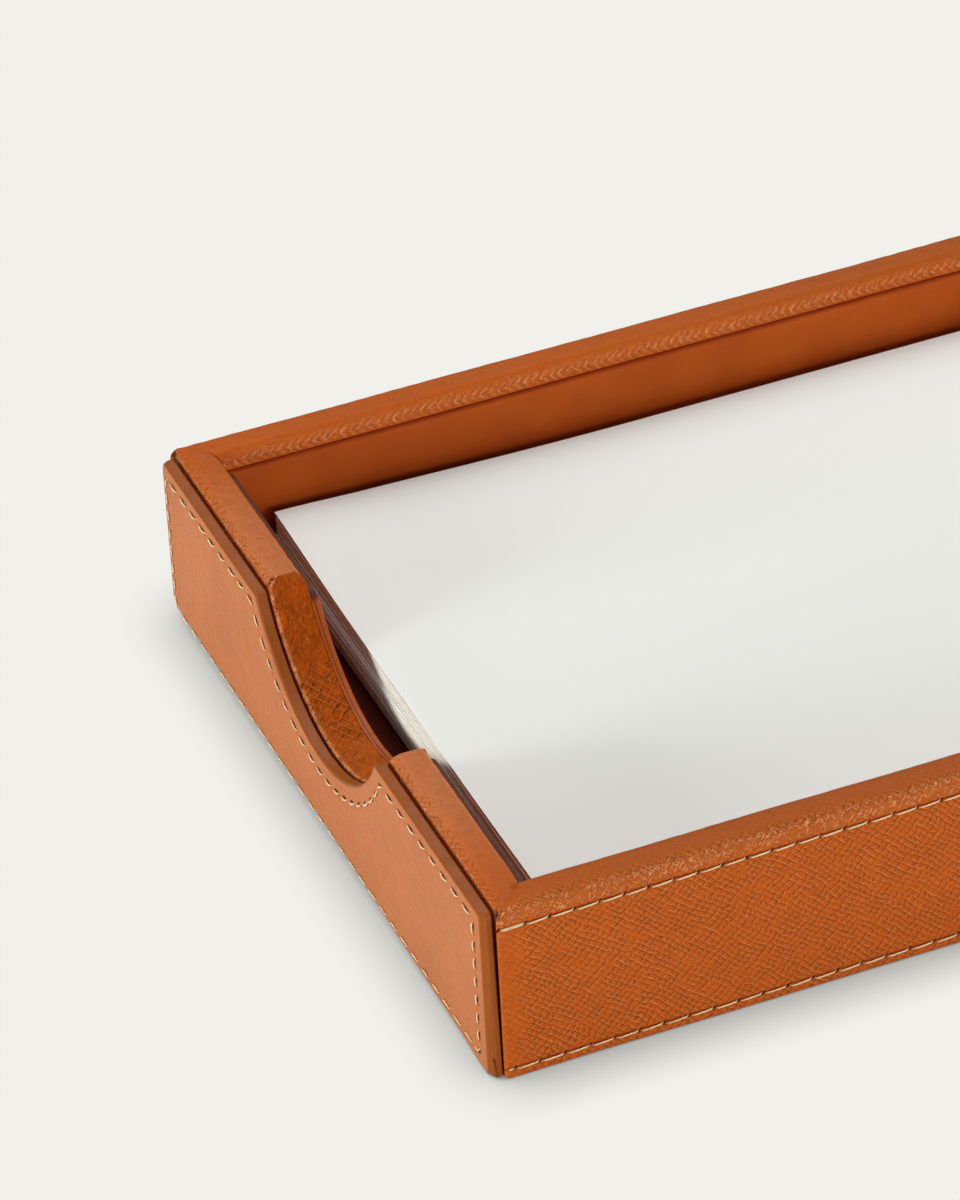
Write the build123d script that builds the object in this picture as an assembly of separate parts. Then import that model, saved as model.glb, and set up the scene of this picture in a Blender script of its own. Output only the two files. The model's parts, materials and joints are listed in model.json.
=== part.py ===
from build123d import *
import math
import os

# Memo sheet holder: an open leather covered tray with a finger notch in its left end, and a shallow
# drawer for spare sheets under the tray's floor. The drawer's front is the stitched, notched end panel.
# Origin: middle of the resting face. +X along the length away from the drawer front, +Z up. Millimetres.

# Sheets
sheet_length = 148.0
sheet_width = 105.0
sheet_thickness = 0.3
stack_height = 8.7
sheet_play_length = 6.0
sheet_play_width = 4.8
stack_shift = 1.9            # the stack lies against the right end of its play

# Skins and boards of the case
leather = 0.9
wall_core = 4.0
liner_board = 0.8
liner_leather = 0.5
underside_cover = 0.5
base_board = 1.2
deck_board = 1.2
deck_leather = 0.5
wall_above_deck = 20.1
liner_drop = 3.1             # from the rim down to the top of the liners
rim_radius = 1.9
foot_radius = 0.7

# Finger notch, the same contour through front panel, end wall and liner
notch_radius = 25.5
notch_depth = 15.0           # below the rim
liner_notch_corner = 5.0

# Drawer
glide_thickness = 0.2
glide_width = 6.0
glide_inset = 9.0
slide_gap = 0.1              # between the drawer's floor and its glides
drawer_floor = 0.7
drawer_lining = 0.3
drawer_depth = 4.3
drawer_lid_gap = 0.3
drawer_side = 1.5
drawer_side_gap = 2.5        # from the drawer's side to the case wall
rail_length = 50.0
run_gap = 0.3                # running clearance at rails, ears and panel
drawer_rear_gap = 0.6

# Drawer front panel
panel_leather = 0.9
panel_backing = 0.9
panel_side_inset = 1.5
panel_drop = 1.3             # from the rim down to the top of the panel
panel_bottom = 1.6
panel_foot_corner = 3.6
panel_top_corner = 1.2
panel_notch_corner = 0.8

# Stitching
stitch_pitch = 3.6
stitch_length = 2.7
stitch_width = 0.5
stitch_height = 0.3
stitch_slant = 8.0           # degrees to the row
row_below_rim = 3.6
row_above_foot = 1.5
row_end_margin = 2.4
panel_stitch_inset = 1.8

# Heights, from the resting face up
core_bottom = leather
base_top = underside_cover + base_board
drawer_bottom = base_top + glide_thickness + slide_gap
drawer_wall_bottom = drawer_bottom + drawer_floor
drawer_wall_top = drawer_wall_bottom + drawer_lining + drawer_depth
deck_bottom = drawer_wall_top + drawer_lid_gap
deck_board_top = deck_bottom + deck_board
deck_top = deck_board_top + deck_leather
rim_top = deck_top + wall_above_deck
core_top = rim_top - leather
liner_top = rim_top - liner_drop
panel_top = rim_top - panel_drop
notch_centre = rim_top - notch_depth + notch_radius
stack_top = deck_top + stack_height

# Plan, from the panel's outer face on the left to the case's right end
wall = wall_core + 2 * leather
liner = liner_board + liner_leather
panel = panel_leather + panel_backing
tray_length = sheet_length + sheet_play_length
tray_width = sheet_width + sheet_play_width
case_length = tray_length + 2 * (liner + wall)
case_width = tray_width + 2 * (liner + wall)
total_length = case_length + run_gap + panel
panel_left = -total_length / 2
panel_back = panel_left + panel
case_left = panel_back + run_gap
case_right = case_left + case_length
side = case_width / 2                    # outer face of the long walls
core_face = side - leather - wall_core   # their cores' inner face, where the deck and base end
wall_face = side - wall                  # their inner leather face
liner_face = wall_face - liner
tray_left = case_left + wall + liner
tray_right = case_right - wall - liner
far = 2 * total_length                   # reach of the cutting solids


def block(x0, x1, y0, y1, z0, z1):
    """A plain block between two corners."""
    return Pos((x0 + x1) / 2, (y0 + y1) / 2, (z0 + z1) / 2) * Box(x1 - x0, y1 - y0, z1 - z0)


def write(shape, node):
    """Write one piece, or one group of separate like pieces, to its own file."""
    shape.label = node
    export_step(shape, f"parts/{node}.step")


def wall_section(bottom, foot):
    """Outer section of a wall: X in the sketch goes inwards from its outer face, Y goes up."""
    section = Pos(wall / 2, (bottom + rim_top) / 2) * Rectangle(wall, rim_top - bottom)
    section = fillet(section.vertices().group_by(Axis.Y)[-1], rim_radius)
    if foot:
        section = fillet(section.vertices().group_by(Axis.Y)[0].sort_by(Axis.X)[0], foot_radius)
    return section


def corner(x, y, inward_x, inward_y, bottom, end_half):
    """One half of a mitred corner of the case, over a height: the end wall's half or the long wall's."""
    reach = 2 * wall
    turn = (x, y + inward_y * reach) if end_half else (x + inward_x * reach, y)
    outline = Polyline((x, y), turn, (x + inward_x * reach, y + inward_y * reach), close=True)
    return Pos(0, 0, bottom) * extrude(make_face(outline), rim_top + reach, dir=(0, 0, 1))


def notch_cut(radius):
    """A cylinder along X through the left end, with the notch's contour."""
    return Pos(panel_left, 0, notch_centre) * Rot(0, 90, 0) * Cylinder(radius, far)


def far_copy(shape):
    """The same piece on the far long wall."""
    return mirror(shape, Plane.XZ)


# The case's inside under the tray: the skins of the walls end at it
under_tray = block(
    case_left + leather, case_right - leather - wall_core, -core_face, core_face, -wall, deck_board_top
)

# Long walls, mitred to the end walls. At the left the mitre stops over the drawer's mouth.
near_plane = Plane((case_left, -side, 0), x_dir=(0, 1, 0), z_dir=(1, 0, 0))
near_body = extrude(near_plane * wall_section(0, True), case_length)
near_core = block(
    case_left + leather, case_right - leather, leather - side, -core_face, core_bottom, core_top
)
for half in (
    corner(case_left, -side, 1, 1, deck_bottom, True),
    corner(case_right, -side, -1, 1, -wall, True),
):
    near_body -= half
    near_core -= half
near_leather = near_body - near_core - under_tray
write(near_core, "front_wall_board")
write(near_leather, "front_wall_leather")
write(far_copy(near_core), "back_wall_board")
write(far_copy(near_leather), "back_wall_leather")

# Right end wall, closed down to the resting face
right_plane = Plane((case_right, -side, 0), x_dir=(-1, 0, 0), z_dir=(0, 1, 0))
right_body = extrude(right_plane * wall_section(0, True), case_width)
right_core = block(
    case_right - leather - wall_core, case_right - leather, leather - side, side - leather,
    core_bottom, core_top,
)
for inward in (1, -1):
    half = corner(case_right, -inward * side, -1, inward, -wall, False)
    right_body -= half
    right_core -= half
write(right_core, "right_wall_board")
write(right_body - right_core - under_tray, "right_wall_leather")

# Left end wall, standing on the deck over the drawer's mouth, with the finger notch
left_plane = Plane((case_left, side, 0), x_dir=(1, 0, 0), z_dir=(0, -1, 0))
left_body = extrude(left_plane * wall_section(deck_bottom, False), case_width)
left_core = block(
    case_left + leather, case_left + leather + wall_core, leather - side, side - leather,
    deck_board_top, core_top,
)
for inward in (1, -1):
    half = corner(case_left, -inward * side, 1, inward, deck_bottom, False)
    left_body -= half
    left_core -= half
left_core -= notch_cut(notch_radius + leather)
left_skin = left_body - left_core - under_tray - notch_cut(notch_radius + leather)
notch_strip = left_body & (notch_cut(notch_radius + leather) - notch_cut(notch_radius))
write(left_core, "left_wall_board")
write(left_skin, "left_wall_leather")
write(notch_strip, "notch_strip")

# Floors: underside cover and base board between the wall boards, deck over the drawer's bay
bay_right = case_right - leather - wall_core
cover = block(case_left + leather, bay_right, -core_face, core_face, 0, underside_cover)
base = block(case_left + leather, bay_right, -core_face, core_face, underside_cover, base_top)
deck = block(case_left + leather, bay_right, -core_face, core_face, deck_bottom, deck_board_top)
deck_skin = block(tray_left, tray_right, -liner_face, liner_face, deck_board_top, deck_top)
write(cover, "underside_cover")
write(base, "base_board")
write(deck, "deck_board")
write(deck_skin, "deck_lining")


def liner_outline(skin):
    """Left liner seen along X, with its rounded notch. Its board lies one skin back from its edges."""
    height = liner_top - skin - deck_board_top
    outline = Pos(0, deck_board_top + height / 2) * Rectangle(2 * liner_face, height)
    outline -= Pos(0, notch_centre) * Circle(notch_radius + skin)
    tops = outline.vertices().group_by(Axis.Y)[-1].sort_by(Axis.X)[1:-1]
    return fillet(tops, liner_notch_corner - skin)


# Liners: thin boards in smooth leather that stand on the deck board against the walls
near_liner = block(
    case_left + wall, case_right - wall, -wall_face, -liner_face, deck_board_top, liner_top
)
near_liner_board = block(
    case_left + wall, case_right - wall, -wall_face, liner_board - wall_face,
    deck_board_top, liner_top - liner_leather,
)
near_liner_leather = near_liner - near_liner_board
write(near_liner_board, "front_liner_board")
write(near_liner_leather, "front_liner_leather")
write(far_copy(near_liner_board), "back_liner_board")
write(far_copy(near_liner_leather), "back_liner_leather")

right_liner = block(
    tray_right, case_right - wall, -liner_face, liner_face, deck_board_top, liner_top
)
right_liner_board = block(
    tray_right + liner_leather, case_right - wall, -liner_face, liner_face,
    deck_board_top, liner_top - liner_leather,
)
write(right_liner_board, "right_liner_board")
write(right_liner - right_liner_board, "right_liner_leather")

liner_plane = Plane.YZ.offset(case_left + wall)
left_liner = extrude(liner_plane * liner_outline(0), liner)
left_liner_board = extrude(liner_plane * liner_outline(liner_leather), liner_board)
write(left_liner_board, "left_liner_board")
write(left_liner - left_liner_board, "left_liner_leather")


def panel_outline():
    """Drawer front seen along X."""
    height = panel_top - panel_bottom
    outline = Pos(0, panel_bottom + height / 2) * Rectangle(2 * (side - panel_side_inset), height)
    outline -= Pos(0, notch_centre) * Circle(notch_radius)
    outline = fillet(outline.vertices().group_by(Axis.Y)[0], panel_foot_corner)
    tops = outline.vertices().group_by(Axis.Y)[-1].sort_by(Axis.X)
    notch_ends = tops[1:-1]
    outline = fillet(notch_ends, panel_notch_corner)
    ends = outline.vertices().group_by(Axis.Y)[-1].sort_by(Axis.X)
    return fillet([ends[0], ends[-1]], panel_top_corner)


def stitch(plane, x, y, angle):
    """One visible thread, lying on the leather."""
    thread = SlotOverall(stitch_length, stitch_width)
    return extrude(plane * (Pos(x, y) * Rot(0, 0, angle + stitch_slant) * thread), stitch_height)


def stitch_row(plane, length, height):
    """A straight row, evenly spread along a wall, starting at the plane's origin."""
    count = int((length - 2 * row_end_margin) // stitch_pitch)
    start = (length - (count - 1) * stitch_pitch) / 2
    return Compound([stitch(plane, start + i * stitch_pitch, height, 0) for i in range(count)])


# Stitch rows under the rim and over the foot of the three closed walls
row_planes = {
    "front": (Plane((case_left, -side, 0), x_dir=(1, 0, 0), z_dir=(0, -1, 0)), case_length),
    "back": (Plane((case_right, side, 0), x_dir=(-1, 0, 0), z_dir=(0, 1, 0)), case_length),
    "right": (Plane((case_right, -side, 0), x_dir=(0, 1, 0), z_dir=(1, 0, 0)), case_width),
}
for wall_name, (row_plane, row_length) in row_planes.items():
    write(stitch_row(row_plane, row_length, rim_top - row_below_rim), f"{wall_name}_rim_stitches")
    write(stitch_row(row_plane, row_length, row_above_foot), f"{wall_name}_foot_stitches")

# Drawer front: leather over a stiff backing, stitched all round
front = panel_outline()
front_leather = extrude(Plane.YZ.offset(panel_left) * front, panel_leather)
front_backing = extrude(Plane.YZ.offset(panel_left + panel_leather) * front, panel_backing)
write(front_leather, "drawer_front_leather")
write(front_backing, "drawer_front_backing")

# Seen from outside, the stitch line runs round the panel one inset from its edge
outer_plane = Plane((panel_left, 0, 0), x_dir=(0, -1, 0), z_dir=(-1, 0, 0))
stitch_line = offset(front, -panel_stitch_inset).face().outer_wire()
panel_count = round(stitch_line.length / stitch_pitch)
panel_stitches = []
for i in range(panel_count):
    place = stitch_line @ (i / panel_count)
    along = stitch_line % (i / panel_count)
    angle = math.degrees(math.atan2(along.Y, -along.X))
    panel_stitches.append(stitch(outer_plane, -place.X, place.Y, angle))
write(Compound(panel_stitches), "drawer_front_stitches")

# Drawer tray: floor board, four thin walls and a soft lining
drawer_side_face = core_face - drawer_side_gap
drawer_right = bay_right - drawer_rear_gap
front_wall_right = panel_back + drawer_side
rear_wall_left = drawer_right - drawer_side
drawer_floor_board = block(
    panel_back, drawer_right, -drawer_side_face, drawer_side_face, drawer_bottom, drawer_wall_bottom
)
drawer_front_wall = block(
    panel_back, front_wall_right, -drawer_side_face, drawer_side_face,
    drawer_wall_bottom, drawer_wall_top,
)
# The rear wall's ends stand out behind the rails and stop the drawer
ear_face = core_face - run_gap
drawer_rear_wall = block(
    rear_wall_left, drawer_right, -ear_face, ear_face, drawer_wall_bottom, drawer_wall_top
)
drawer_near_side = block(
    front_wall_right, rear_wall_left, -drawer_side_face, drawer_side - drawer_side_face,
    drawer_wall_bottom, drawer_wall_top,
)
drawer_skin = block(
    front_wall_right, rear_wall_left, drawer_side - drawer_side_face, drawer_side_face - drawer_side,
    drawer_wall_bottom, drawer_wall_bottom + drawer_lining,
)
write(drawer_floor_board, "drawer_floor")
write(drawer_front_wall, "drawer_front_wall")
write(drawer_rear_wall, "drawer_rear_wall")
write(drawer_near_side, "drawer_front_side")
write(far_copy(drawer_near_side), "drawer_back_side")
write(drawer_skin, "drawer_lining")

# Rails beside the drawer guide it and stop its ears; glide strips carry its floor
rail_right = case_left + leather + rail_length
near_rail = block(
    case_left + leather, rail_right, -core_face, -drawer_side_face - run_gap, base_top, deck_bottom
)
glide_centre = drawer_side_face - glide_inset
near_glide = block(
    case_left + leather, bay_right, -glide_centre - glide_width / 2, glide_width / 2 - glide_centre,
    base_top, base_top + glide_thickness,
)
write(near_rail, "drawer_rail_front")
write(far_copy(near_rail), "drawer_rail_back")
write(near_glide, "drawer_glide_front")
write(far_copy(near_glide), "drawer_glide_back")

# Sheets: the stack and the loose top sheet
sheet_left = tray_left + sheet_play_length / 2 + stack_shift
sheet_right = sheet_left + sheet_length
write(
    block(sheet_left, sheet_right, -sheet_width / 2, sheet_width / 2, deck_top,
          stack_top - sheet_thickness),
    "memo_sheets",
)
write(
    block(sheet_left, sheet_right, -sheet_width / 2, sheet_width / 2, stack_top - sheet_thickness,
          stack_top),
    "top_sheet",
)

drawer_travel = rear_wall_left - rail_right - run_gap
print(f"case {case_length:.1f} x {case_width:.1f} x {rim_top:.1f} mm, overall {total_length:.1f} mm")
print(f"deck top {deck_top:.1f}, drawer travel {drawer_travel:.1f} mm, panel stitches {panel_count}")
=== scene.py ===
import json
import math
from functools import partialmethod

import bmesh
import bpy
import numpy as np
from mathutils import Matrix, Vector
from mathutils.geometry import delaunay_2d_cdt
from mathutils.kdtree import KDTree


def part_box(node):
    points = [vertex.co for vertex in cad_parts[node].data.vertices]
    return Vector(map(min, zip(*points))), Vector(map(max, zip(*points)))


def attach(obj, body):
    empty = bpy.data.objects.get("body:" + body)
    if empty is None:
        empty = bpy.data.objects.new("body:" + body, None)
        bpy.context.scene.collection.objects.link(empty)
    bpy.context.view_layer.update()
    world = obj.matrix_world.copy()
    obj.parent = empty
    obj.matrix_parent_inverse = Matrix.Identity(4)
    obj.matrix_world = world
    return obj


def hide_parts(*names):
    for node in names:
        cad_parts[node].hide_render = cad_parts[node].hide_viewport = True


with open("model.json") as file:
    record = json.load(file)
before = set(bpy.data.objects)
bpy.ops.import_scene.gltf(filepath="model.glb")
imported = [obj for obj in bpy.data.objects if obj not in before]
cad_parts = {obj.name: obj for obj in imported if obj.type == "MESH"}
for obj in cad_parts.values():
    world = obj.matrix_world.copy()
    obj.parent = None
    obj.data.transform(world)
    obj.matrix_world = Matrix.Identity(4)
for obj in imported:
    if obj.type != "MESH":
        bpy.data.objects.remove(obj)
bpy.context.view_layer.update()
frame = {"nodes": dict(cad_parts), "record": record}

# Lengths in this script are millimetres in the part's own frame; build() turns them into metres.
MM = 0.001


def span(node):
    """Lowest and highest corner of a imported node."""
    low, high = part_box(node)
    return np.array(low) / MM, np.array(high) / MM


# ---- sizes taken from the frame
near_low, near_high = span("front_wall_leather")
near_board_low, near_board_high = span("front_wall_board")
liner_low, liner_high = span("front_liner_leather")
left_liner_low, left_liner_high = span("left_liner_leather")
face_low, face_high = span("drawer_front_leather")
backing_low, backing_high = span("drawer_front_backing")
stack_low, stack_high = span("memo_sheets")
sheet_low, sheet_high = span("top_sheet")

case_left, case_right = near_low[0], near_high[0]
case_length = case_right - case_left
side = -near_low[1]
case_width = 2 * side
rim_top = near_high[2]
wall = near_high[1] - near_low[1]
skin = near_board_low[1] - near_low[1]
bay_face = -near_board_high[1]
mouth_top = span("left_wall_leather")[0][2]
tray_board_top = liner_low[2]
liner_top = liner_high[2]
liner_face = -liner_high[1]

# ---- sizes of the finish
rim_radius = 1.9
foot_radius = 0.5
corner_radius = 0.35         # upright outer corners of the case
end_radius = 1.2             # foot corner of a long wall's left end
notch_radius = 25.5
notch_depth = 15.0
notch_centre = rim_top - notch_depth + notch_radius
liner_mouth_corner = 5.0
liner_skin_depth = 0.5
panel_top_corner = 1.2
panel_mouth_corner = 0.8
panel_edge_radius = 0.4
rim_row = rim_top - 3.65     # height of the stitch row under the rim
foot_row = 1.65
rim_pitch = 3.65
foot_pitch = 3.72
rim_first_hole = 3.95        # from the case's left end
foot_first_hole = 1.35
groove_depth = 0.14
groove_width = 0.30
thread_radius = 0.125
panel_thread_radius = 0.132
skin_step = 0.36             # along a wall, between the points of its leather
edge_step = 0.34             # along a plate's outline
lap = 0.55                   # of the long walls' leather over the drawer front's edge
panel_end = (50, 58)         # from the middle: where the drawer front's ends begin and are full
sheet_count = 42             # sheets drawn for the stack
mitre_near = 0.45            # depth of the soft valley at the near left mitre
braid_height = rim_top - 2.0
off_seam = 9.0               # distance from a seam that counts as none


# ---- mesh helpers
def build(name, shape, materials, body, replaced, values=None, second=None, sharp=50, welded=False):
    """A mesh object from millimetre points and faces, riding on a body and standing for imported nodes.
    values are attributes of its points, and second says which faces have the second material."""
    vertices, faces = shape
    mesh = bpy.data.meshes.new(name)
    mesh.from_pydata((np.asarray(vertices) * MM).tolist(), [], faces)
    for key, value in (values or {}).items():
        kind, field = ("FLOAT", "value") if value.ndim == 1 else ("FLOAT_VECTOR", "vector")
        mesh.attributes.new(key, kind, "POINT").data.foreach_set(field, value.astype(np.float32).ravel())
    for material in materials:
        mesh.materials.append(material)
    if second is not None:
        mesh.polygons.foreach_set("material_index", np.array(second, np.int32))
    mesh.update()
    mesh.shade_smooth()
    mesh.set_sharp_from_angle(angle=math.radians(sharp))
    piece = bpy.data.objects.new(name, mesh)
    bpy.context.scene.collection.objects.link(piece)
    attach(piece, body)
    if replaced:
        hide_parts(*replaced)
    if welded:
        weld(mesh)


def weld(mesh, gap=0.0005 * MM):
    """Joins points of a mesh that lie on each other."""
    work = bmesh.new()
    work.from_mesh(mesh)
    bmesh.ops.remove_doubles(work, verts=work.verts, dist=gap)
    bmesh.ops.dissolve_degenerate(work, edges=work.edges, dist=gap)
    bmesh.ops.recalc_face_normals(work, faces=work.faces)
    work.to_mesh(mesh)
    work.free()


def ripples(u, v, wavelength, seed, waves=8):
    """Smooth irregular waves over a surface, about -1 to 1, the same on each run."""
    rng = np.random.default_rng(seed)
    total = 0.0
    for _ in range(waves):
        angle, phase = rng.uniform(0, 2 * math.pi, 2)
        number = 2 * math.pi / (wavelength * rng.uniform(0.7, 1.4))
        total = total + np.sin(number * (u * math.cos(angle) + v * math.sin(angle)) + phase)
    return total / math.sqrt(2 * waves)


def bell(distance, width):
    """1 at no distance, falling smoothly to nothing at about twice the width."""
    return np.exp(-((distance / width) ** 2))


def rise(value, low, high):
    """Smooth step from 0 at low to 1 at high."""
    x = np.clip((value - low) / (high - low), 0, 1)
    return x * x * (3 - 2 * x)


def rounded(distance, radius):
    """How far a surface drops at this distance from a rounded edge."""
    inside = np.clip(radius - distance, 0, radius)
    return radius - np.sqrt(radius * radius - inside * inside)


def pulled_round(dx, dy, radius):
    """Moves that bring points, dx and dy past a corner's centre, back to its arc."""
    far = np.maximum(np.hypot(dx, dy), radius)
    share = np.where((dx > 0) & (dy > 0), 1 - radius / far, 0)
    return dx * share, dy * share


def arc(centre, radius, start, end, steps):
    """Points of an arc from one angle to another, in degrees."""
    angles = np.radians(np.linspace(start, end, steps + 1))
    return np.stack([centre[0] + radius * np.cos(angles), centre[1] + radius * np.sin(angles)], 1)


def chain(*parts):
    """Parts of an outline as one list of points, without doubled ones."""
    points = np.concatenate(parts)
    step = np.hypot(*np.diff(points, axis=0).T)
    return points[np.concatenate([[True], step > 1e-6])]


def normals_of(points):
    """Normals to the left of a line of points."""
    along = np.gradient(points, axis=0)
    along /= np.hypot(*along.T)[:, None]
    return np.stack([-along[:, 1], along[:, 0]], 1)


def length_along(points):
    """Distance of each point from the first, along the line."""
    return np.concatenate([[0], np.cumsum(np.hypot(*np.diff(points, axis=0).T))])


def numbered(rows, columns, first=0):
    """Numbers of a grid of points, row by row."""
    return first + np.arange(rows * columns).reshape(rows, columns)


def quads(index):
    """Faces of a grid of point numbers."""
    corners = index[:-1, :-1], index[:-1, 1:], index[1:, 1:], index[1:, :-1]
    return np.stack([c.ravel() for c in corners], 1).tolist()


def band(first, second):
    """Faces between two closed lines of point numbers."""
    return quads(np.stack([np.append(line, line[0]) for line in (first, second)]))


def shell(outer, inner, closed=None):
    """A closed skin. The outer points are rows by columns, the inner ones rows by 2, under the first and
    last column. closed says after which rows the last column has a face."""
    rows, columns = outer.shape[:2]
    index = numbered(rows, columns)
    under = numbered(rows, 2, rows * columns)
    last = quads(np.stack([under[:, 1], index[:, -1]]))
    faces = quads(index) + quads(under.T) + quads(np.stack([index[:, 0], under[:, 0]]))
    faces += last if closed is None else [face for face, kept in zip(last, closed) if kept]
    faces.append(index[0, ::-1].tolist() + under[0].tolist())
    faces.append(index[-1].tolist() + under[-1, ::-1].tolist())
    return np.concatenate([outer.reshape(-1, 3), inner.reshape(-1, 3)]), faces


def joined(meshes):
    """Several meshes, each its points and its faces, as one."""
    starts = np.cumsum([0] + [len(points) for points, _ in meshes]).tolist()
    faces = [[i + start for i in face] for (_, made), start in zip(meshes, starts) for face in made]
    return np.concatenate([points for points, _ in meshes]), faces


# ---- material helpers
class Field:
    """An output of a node, with the signs of arithmetic."""

    def __init__(self, shade, socket):
        self.shade, self.socket = shade, socket

    def op(self, operation, *others, output=0):
        kind = "Math" if self.socket.type == "VALUE" else "VectorMath"
        return self.shade.node(kind, dict(enumerate((self, *others))), output, operation=operation)

    __add__ = partialmethod(op, "ADD")
    __sub__ = partialmethod(op, "SUBTRACT")
    __mul__ = partialmethod(op, "MULTIPLY")
    __truediv__ = partialmethod(op, "DIVIDE")
    __abs__ = partialmethod(op, "ABSOLUTE")

    def __rsub__(self, other):
        return self * -1 + other

    def outputs(self):
        """All outputs of the node, by name."""
        return {s.name: Field(self.shade, s) for s in self.socket.node.outputs}

    def split(self):
        """The three numbers of a vector."""
        return self.shade.node("SeparateXYZ", {"Vector": self}).outputs().values()

    def turned(self, degrees):
        inputs = {"Vector": self, "Angle": math.radians(degrees)}
        return self.shade.node("VectorRotate", inputs, rotation_type="Z_AXIS")

    def noise(self, scale, detail=3.0, roughness=0.55, output="Fac", distortion=0.0):
        inputs = {"Vector": self, "Scale": scale, "Detail": detail, "Roughness": roughness,
                  "Distortion": distortion}
        return self.shade.node("TexNoise", inputs, output)

    def cells(self, scale):
        """Distance from the borders of irregular cells."""
        inputs = {"Vector": self, "Scale": scale, "Randomness": 1.0}
        return self.shade.node("TexVoronoi", inputs, "Distance", feature="DISTANCE_TO_EDGE")

    def ramp(self, low, high, first=0.0, last=1.0):
        """The value between low and high, brought smoothly to first and last."""
        inputs = {"Value": self, "From Min": low, "From Max": high, "To Min": first, "To Max": last}
        return self.shade.node("MapRange", inputs, "Result", interpolation_type="SMOOTHSTEP")


class Shade:
    """A material's node tree."""

    def __init__(self, name, **constants):
        self.material = bpy.data.materials.new(name)
        self.material.use_nodes = True
        self.tree = self.material.node_tree
        self.surface = self.tree.nodes["Principled BSDF"]
        for key, value in constants.items():
            self.surface.inputs[key.replace("_", " ")].default_value = value

    def node(self, kind, inputs=None, output=0, **settings):
        """A new node's output; the inputs are fields or plain values."""
        made = self.tree.nodes.new("ShaderNode" + kind)
        for key, value in settings.items():
            setattr(made, key, value)
        for key, value in (inputs or {}).items():
            if isinstance(value, Field):
                self.tree.links.new(value.socket, made.inputs[key])
            else:
                made.inputs[key].default_value = value
        return Field(self, made.outputs[output])

    def place(self):
        """Where a point is in the part's frame, in millimetres."""
        return self.node("TexCoord", output="Object") * (1 / MM, 1 / MM, 1 / MM)

    def attribute(self, name, output="Fac"):
        return self.node("Attribute", output=output, attribute_name=name)

    def blend(self, share, first, second):
        inputs = {"Factor": share, "A": first, "B": second}
        return self.node("Mix", inputs, "Result", data_type="RGBA")

    def finish(self, colour, coats, roughness, bumps):
        """The material: coats of (share, colour) one over the other, a roughness or None, and bumps of
        (height from 0 to 1, depth in millimetres) one on the other."""
        for share, coat in coats:
            colour = self.blend(share, colour, coat)
        normal = None
        for height, depth in bumps:
            under = {} if normal is None else {"Normal": normal}
            normal = self.node("Bump", {"Height": height, "Distance": depth * MM, "Strength": 1.0, **under}, "Normal")
        for key, value in (("Base Color", colour), ("Roughness", roughness), ("Normal", normal)):
            if value is not None:
                self.tree.links.new(value.socket, self.surface.inputs[key])
        return self.material


# Colours in linear values: most as the surfaces look in plain light, some used for painted light and shade, as marked
tan = (0.51, 0.098, 0.009, 1)
tan_warm = (0.41, 0.078, 0.0045, 1)
tan_deep = (0.215, 0.032, 0.002, 1)
# painted highlight for the grain's crests
tan_light = (0.68, 0.22, 0.06, 1)
# lighter by wear and by painted highlight on rounded rim edges
tan_worn_glint = (0.86, 0.38, 0.16, 1)
# painted highlight on the braided ridges
braid_highlight = (0.80, 0.27, 0.10, 1)
# painted shade for the tops of the front, back and right rims; painted light for the left wall's rim
tan_rim_painted_shade = (0.35, 0.076, 0.009, 1)
tan_rim_painted_light = (0.49, 0.150, 0.050, 1)
# the notch strip's leather, painted darker than the walls' as the shade of the notch
strip_tan_painted_shade = (0.36, 0.054, 0.001, 1)
strip_deep = (0.25, 0.042, 0.002, 1)
strip_light = (0.60, 0.155, 0.020, 1)
liner_tan = (0.43, 0.083, 0.009, 1)
liner_deep = (0.35, 0.060, 0.007, 1)
liner_shade = (0.19, 0.014, 0.0003, 1)
panel_tan = (0.46, 0.135, 0.029, 1)
panel_deep = (0.38, 0.105, 0.022, 1)
edge_brown = (0.27, 0.070, 0.010, 1)
edge_dark = (0.10, 0.018, 0.003, 1)
# painted shade: inside needle holes, low in the tray and where liners meet the walls
painted_shade_brown = (0.035, 0.008, 0.002, 1)
thread_cream = (0.96, 0.73, 0.41, 1)
thread_shade = (0.46, 0.22, 0.065, 1)
paper_white = (0.785, 0.792, 0.755, 1)


def seam_holes(shade, ahead, aside, half_along, half_across, lean):
    """Needle holes along the seams, painted dark as the shade inside them: 1 in a hole and 0 outside. They lie ahead
    millimetres after the stitch's start and aside from its row. The seam attribute holds the place along the row as
    cosine and sine, and the distance across it."""
    cosine, sine, across = shade.attribute("seam", "Vector").split()
    turn = sine.op("ARCTAN2", cosine) / (2 * math.pi)
    along = (turn - ahead / rim_pitch).op("WRAP", 0.5, -0.5) * rim_pitch
    across = across - aside
    width = (along - across * lean) / half_along
    height = across / half_across
    ragged = (shade.place().noise(3.0, 2.0) - 0.5) * 0.7
    return ((width * width + height * height).op("SQRT") + ragged).ramp(0.7, 1.15, 1, 0)


def line_phase(where, degrees, spacing):
    """Counts even lines across a surface, at an angle: whole numbers lie on the lines."""
    a = math.radians(degrees)
    across = (-math.sin(a) / spacing, math.cos(a) / spacing, 0)
    return where.op("DOT_PRODUCT", across, output="Value")


def line_at(phase, width, shift=0.0):
    """1 on each line and 0 between; width and shift are shares of the spacing."""
    return (phase + shift).op("PINGPONG", 0.5).ramp(0, width, 1, 0)


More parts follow.
